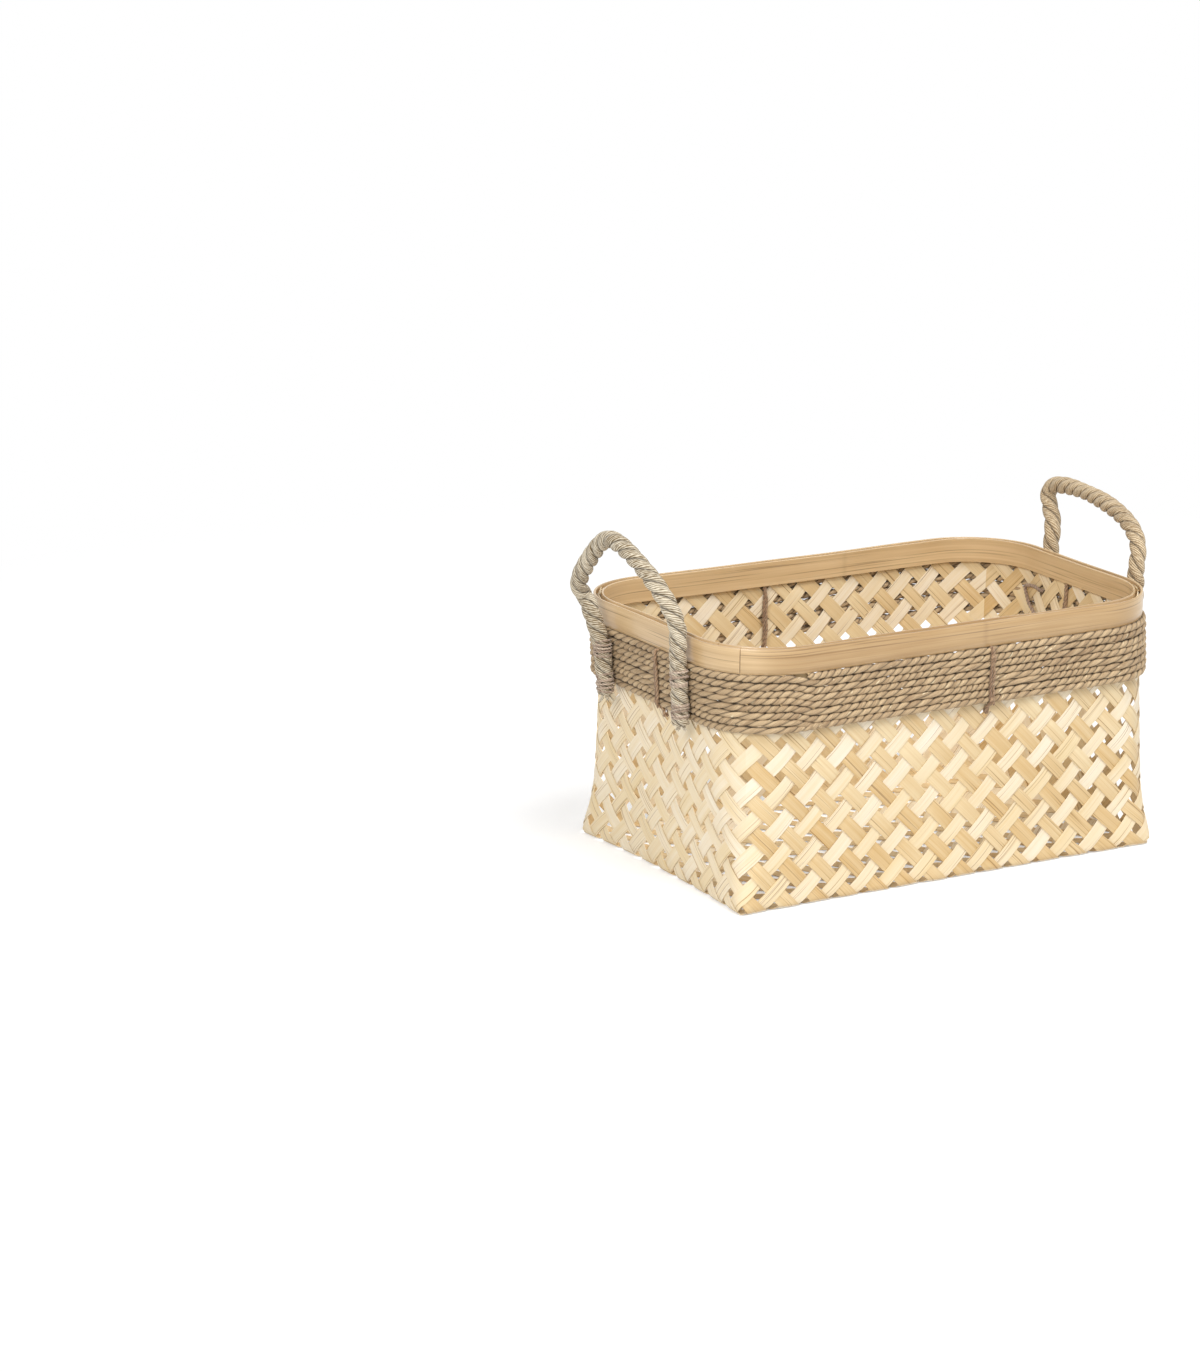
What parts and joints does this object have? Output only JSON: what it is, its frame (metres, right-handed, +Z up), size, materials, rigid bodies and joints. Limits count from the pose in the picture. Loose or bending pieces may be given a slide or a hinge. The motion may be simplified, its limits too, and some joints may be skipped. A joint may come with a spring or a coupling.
{
  "type": "woven storage basket",
  "caption": "Open rectangular basket of diagonally plaited bamboo strips, with a hooped rim, a wound cord band under it and a swinging rope handle at each end.",
  "frame": {"origin": "middle of the base, on the surface that the basket stands on", "axes": "+X along the long side towards the right-hand handle, +Y from the front wall to the back wall, +Z up"},
  "size_m": [0.4189, 0.2342, 0.2452],
  "materials": {
    "hoop_bamboo": "satin",
    "pale_bamboo": "satin",
    "tan_bamboo": "satin",
    "band_cord": "matte",
    "handle_rope": "matte",
    "twine": "matte"
  },
  "bodies": {
    "basket": {"outer_hoop": "hoop_bamboo", "inner_hoop": "hoop_bamboo", "cord_band": "band_cord", "base_rising_strips": "tan_bamboo", "base_falling_strips": "pale_bamboo", "front_rising_strips": "pale_bamboo", "front_falling_strips": "tan_bamboo", "right_rising_strips": "tan_bamboo", "right_falling_strips": "pale_bamboo", "back_rising_strips": "pale_bamboo", "back_falling_strips": "tan_bamboo", "left_rising_strips": "tan_bamboo", "left_falling_strips": "pale_bamboo", "front_tie": "twine", "right_tie": "twine", "back_tie": "twine", "left_tie": "twine", "left_handle_front_leg": "handle_rope", "left_handle_back_leg": "handle_rope", "right_handle_front_leg": "handle_rope", "right_handle_back_leg": "handle_rope", "left_front_lashing": "twine", "left_back_lashing": "twine", "right_front_lashing": "twine", "right_back_lashing": "twine"},
    "left_handle": {"left_handle_loop": "handle_rope"},
    "right_handle": {"right_handle_loop": "handle_rope"}
  },
  "joints": [
    {"name": "left_handle_swing", "type": "hinge", "parent": "basket", "child": "left_handle", "pos_m": [-0.1894, 0, 0.1898], "axis": [0, 1, 0], "range_deg": [-50, 100]},
    {"name": "right_handle_swing", "type": "hinge", "parent": "basket", "child": "right_handle", "pos_m": [0.1894, 0, 0.1898], "axis": [0, 1, 0], "range_deg": [-102, 68]}
  ]
}
